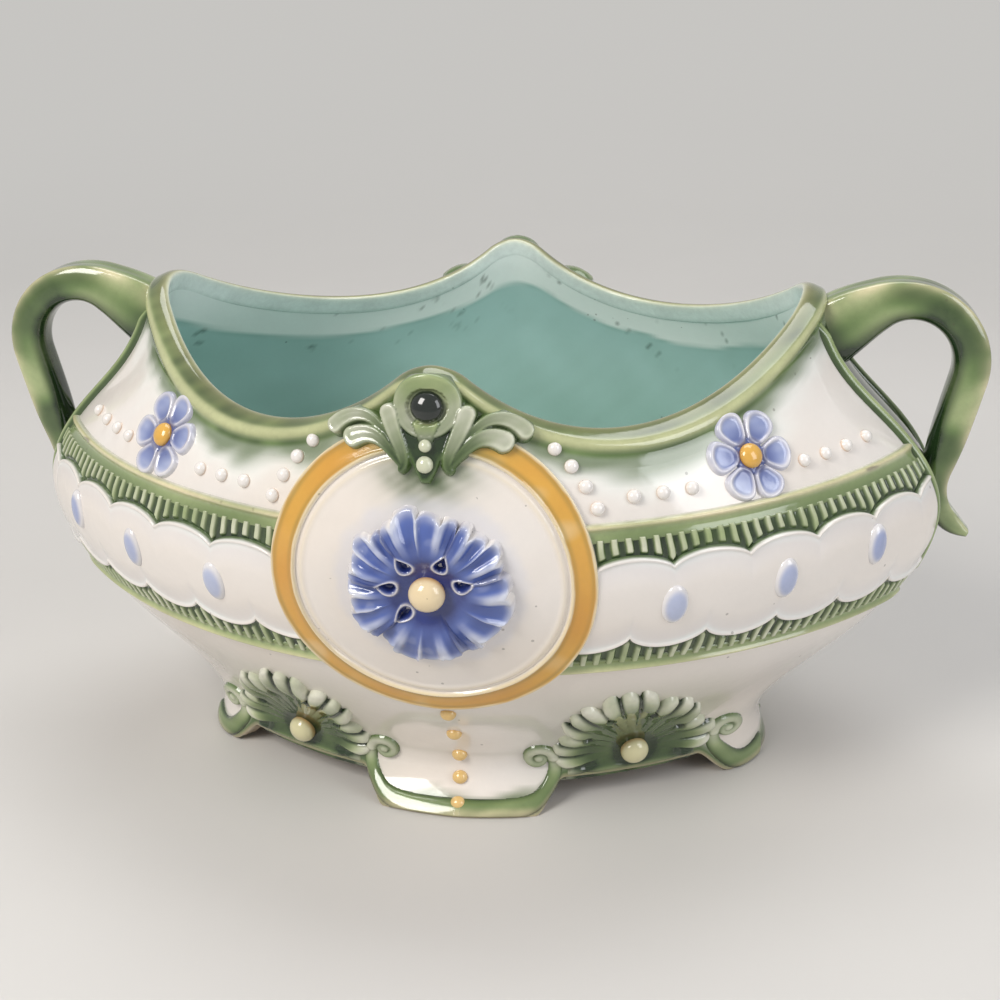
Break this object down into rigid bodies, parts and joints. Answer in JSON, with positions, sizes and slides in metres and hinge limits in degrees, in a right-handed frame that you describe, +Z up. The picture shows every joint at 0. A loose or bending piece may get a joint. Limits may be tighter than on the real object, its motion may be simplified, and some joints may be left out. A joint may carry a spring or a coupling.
{
  "type": "jardiniere",
  "caption": "Glazed earthenware table jardiniere: oval bowl with a waved mouth, loop handles, arched feet and applied flower, medallion and scallop relief.",
  "frame": {"origin": "on the table under the middle of the bowl", "axes": "+X towards the right handle, -Y towards the front medallion, +Z up"},
  "size_m": [0.2706, 0.1818, 0.1365],
  "materials": {
    "white_glaze": "gloss",
    "green_glaze": "gloss",
    "ochre_glaze": "gloss",
    "blue_glaze": "gloss",
    "yellow_glaze": "gloss",
    "cream_glaze": "gloss",
    "dark_glaze": "gloss"
  },
  "bodies": {
    "root": {"back_chain_beads": "yellow_glaze", "back_cornflower": "blue_glaze", "back_cornflower_pearl": "cream_glaze", "back_crest": "green_glaze", "back_crest_jewels": "dark_glaze", "back_left_border_ridge": "green_glaze", "back_left_cabochons": "blue_glaze", "back_left_forget_me_not": "blue_glaze", "back_left_forget_me_not_centre": "yellow_glaze", "back_left_lower_fillet": "green_glaze", "back_left_neck_pearls": "white_glaze", "back_left_palmette": "green_glaze", "back_left_reeds": "green_glaze", "back_left_scallop_band": "white_glaze", "back_left_upper_fillet": "green_glaze", "back_medallion_disc": "white_glaze", "back_medallion_ring": "ochre_glaze", "back_right_border_ridge": "green_glaze", "back_right_cabochons": "blue_glaze", "back_right_forget_me_not": "blue_glaze", "back_right_forget_me_not_centre": "yellow_glaze", "back_right_lower_fillet": "green_glaze", "back_right_neck_pearls": "white_glaze", "back_right_palmette": "green_glaze", "back_right_reeds": "green_glaze", "back_right_scallop_band": "white_glaze", "back_right_upper_fillet": "green_glaze", "bowl": "white_glaze", "foot_scrolls": "green_glaze", "front_chain_beads": "yellow_glaze", "front_cornflower": "blue_glaze", "front_cornflower_pearl": "cream_glaze", "front_crest": "green_glaze", "front_crest_jewels": "dark_glaze", "front_left_border_ridge": "green_glaze", "front_left_cabochons": "blue_glaze", "front_left_forget_me_not": "blue_glaze", "front_left_forget_me_not_centre": "yellow_glaze", "front_left_lower_fillet": "green_glaze", "front_left_neck_pearls": "white_glaze", "front_left_palmette": "green_glaze", "front_left_reeds": "green_glaze", "front_left_scallop_band": "white_glaze", "front_left_upper_fillet": "green_glaze", "front_medallion_disc": "white_glaze", "front_medallion_ring": "ochre_glaze", "front_right_border_ridge": "green_glaze", "front_right_cabochons": "blue_glaze", "front_right_forget_me_not": "blue_glaze", "front_right_forget_me_not_centre": "yellow_glaze", "front_right_lower_fillet": "green_glaze", "front_right_neck_pearls": "white_glaze", "front_right_palmette": "green_glaze", "front_right_reeds": "green_glaze", "front_right_scallop_band": "white_glaze", "front_right_upper_fillet": "green_glaze", "left_handle": "green_glaze", "palmette_pearls": "cream_glaze", "right_handle": "green_glaze", "rim_moulding": "green_glaze"}
  },
  "joints": []
}
